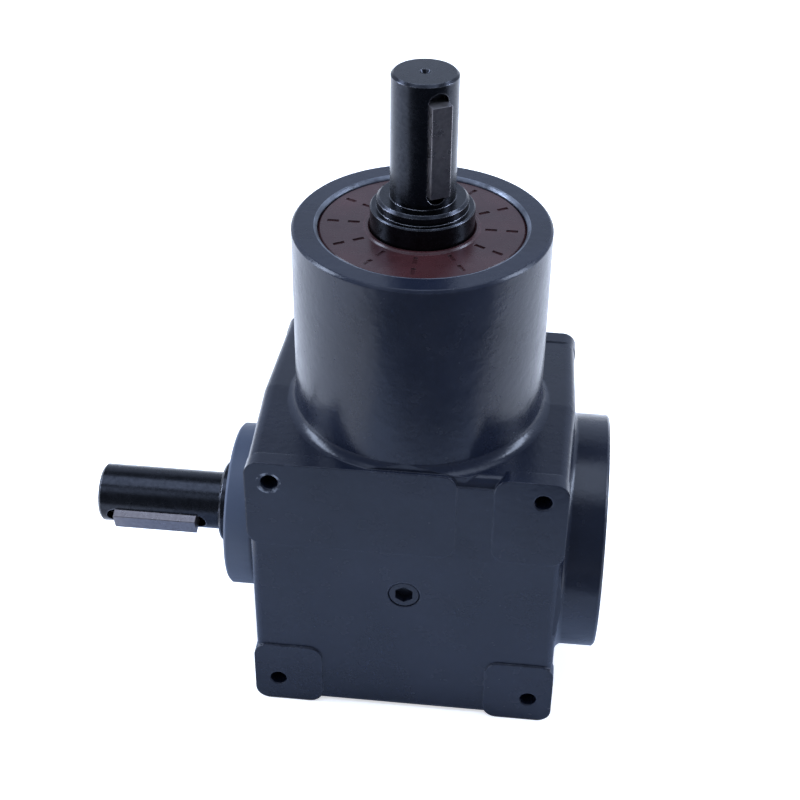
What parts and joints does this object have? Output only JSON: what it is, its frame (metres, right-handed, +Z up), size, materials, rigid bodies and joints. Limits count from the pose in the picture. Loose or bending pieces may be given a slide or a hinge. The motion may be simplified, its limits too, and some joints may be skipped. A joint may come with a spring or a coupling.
{
  "type": "right angle bevel gearbox",
  "caption": "Right angle bevel gearbox: cast cube housing with a tall neck, keyed vertical input shaft and keyed horizontal output shaft geared one to one.",
  "frame": {"origin": "on the base face, straight below the point where the two shaft axes cross, 65.5 mm up", "axes": "+Z up along the input shaft, out of the neck; the output shaft points to -X and the closed flange to +X; -Y out of the front mounting face with the level plug"},
  "size_m": [0.2175, 0.1075, 0.271],
  "materials": {
    "housing_enamel": "blue-black semi-gloss enamel over cast iron",
    "plug_steel": "steel, painted over with the housing",
    "shaft_steel": "ground steel with a dark finish and a film of oil",
    "key_steel": "bright drawn key steel",
    "gear_steel": "case hardened steel, lapped tooth flanks",
    "spring_steel": "black phosphated spring steel",
    "spacer_steel": "turned steel",
    "shim_steel": "cold rolled shim steel",
    "seal_rubber": "moulded brown nitrile rubber over a steel ring",
    "garter_spring": "coiled steel wire",
    "cap_rubber": "black rubber over a pressed steel cap",
    "bearing_steel": "ground and polished bearing steel",
    "cage_steel": "pressed and riveted sheet steel"
  },
  "bodies": {
    "gearbox_housing": {"housing": "housing_enamel", "level_plug": "plug_steel", "filler_plug": "plug_steel", "input_shim": "shim_steel", "neck_circlip": "spring_steel", "input_oil_seal": "seal_rubber", "input_seal_spring": "garter_spring", "output_shim": "shim_steel", "flange_circlip": "spring_steel", "end_cap": "cap_rubber", "output_oil_seal": "seal_rubber", "output_seal_spring": "garter_spring", "input_lower_bearing_outer_ring": "bearing_steel", "input_upper_bearing_outer_ring": "bearing_steel", "output_left_bearing_outer_ring": "bearing_steel", "output_right_bearing_outer_ring": "bearing_steel"},
    "input_rotor": {"input_shaft": "shaft_steel", "input_shaft_key": "key_steel", "input_bevel_gear": "gear_steel", "input_gear_key": "key_steel", "input_gear_circlip": "spring_steel", "input_bearing_spacer": "spacer_steel", "input_shaft_circlip": "spring_steel", "input_lower_bearing_inner_ring": "bearing_steel", "input_upper_bearing_inner_ring": "bearing_steel"},
    "output_rotor": {"output_shaft": "shaft_steel", "output_shaft_key": "key_steel", "output_bevel_gear": "gear_steel", "output_gear_key": "key_steel", "output_gear_circlip": "spring_steel", "output_shaft_circlip": "spring_steel", "output_left_bearing_inner_ring": "bearing_steel", "output_right_bearing_inner_ring": "bearing_steel"},
    "input_lower_bearing_rollers": {"input_lower_bearing_balls": "bearing_steel", "input_lower_bearing_cage": "cage_steel"},
    "input_upper_bearing_rollers": {"input_upper_bearing_balls": "bearing_steel", "input_upper_bearing_cage": "cage_steel"},
    "output_left_bearing_rollers": {"output_left_bearing_balls": "bearing_steel", "output_left_bearing_cage": "cage_steel"},
    "output_right_bearing_rollers": {"output_right_bearing_balls": "bearing_steel", "output_right_bearing_cage": "cage_steel"}
  },
  "joints": [
    {"name": "input_spin", "type": "hinge", "parent": "gearbox_housing", "child": "input_rotor", "pos_m": [0, 0, 0.0655], "axis": [0, 0, 1], "continuous": true},
    {"name": "output_spin", "type": "hinge", "parent": "gearbox_housing", "child": "output_rotor", "pos_m": [0, 0, 0.0655], "axis": [1, 0, 0], "continuous": true},
    {"name": "input_lower_bearing_orbit", "type": "hinge", "parent": "gearbox_housing", "child": "input_lower_bearing_rollers", "pos_m": [0, 0, 0.0655], "axis": [0, 0, 1], "continuous": true},
    {"name": "input_upper_bearing_orbit", "type": "hinge", "parent": "gearbox_housing", "child": "input_upper_bearing_rollers", "pos_m": [0, 0, 0.0655], "axis": [0, 0, 1], "continuous": true},
    {"name": "output_left_bearing_orbit", "type": "hinge", "parent": "gearbox_housing", "child": "output_left_bearing_rollers", "pos_m": [0, 0, 0.0655], "axis": [1, 0, 0], "continuous": true},
    {"name": "output_right_bearing_orbit", "type": "hinge", "parent": "gearbox_housing", "child": "output_right_bearing_rollers", "pos_m": [0, 0, 0.0655], "axis": [1, 0, 0], "continuous": true}
  ],
  "couplings": [
    {"joint": "output_spin", "follows": "input_spin", "ratio": -1},
    {"joint": "input_lower_bearing_orbit", "follows": "input_spin", "ratio": 0.4},
    {"joint": "input_upper_bearing_orbit", "follows": "input_spin", "ratio": 0.4},
    {"joint": "output_left_bearing_orbit", "follows": "input_spin", "ratio": -0.39626},
    {"joint": "output_right_bearing_orbit", "follows": "input_spin", "ratio": -0.38261}
  ]
}
